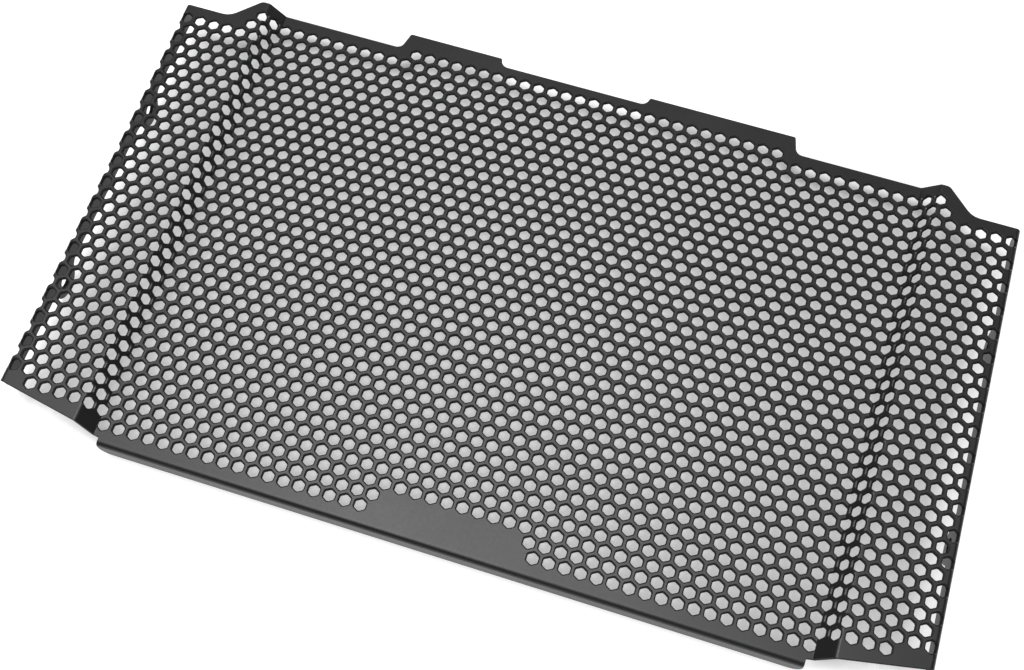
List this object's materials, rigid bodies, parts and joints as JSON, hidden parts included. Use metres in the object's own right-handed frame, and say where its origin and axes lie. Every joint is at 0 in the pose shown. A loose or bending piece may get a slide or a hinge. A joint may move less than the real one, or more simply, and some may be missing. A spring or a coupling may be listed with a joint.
{
  "type": "motorcycle radiator guard",
  "caption": "Perforated sheet-metal radiator guard for a motorcycle, with raised side wings, a folded bottom lip and side flanges with bolt lugs.",
  "frame": {"origin": "middle of the bounding box, on the plane that the four lug tips rest on", "axes": "+X along the guard's width, +Y up its height as fitted, +Z out of its front face"},
  "size_m": [0.3838, 0.2274, 0.0195],
  "materials": {
    "black_coat": "satin"
  },
  "bodies": {
    "root": {"guard": "black_coat"}
  },
  "joints": []
}
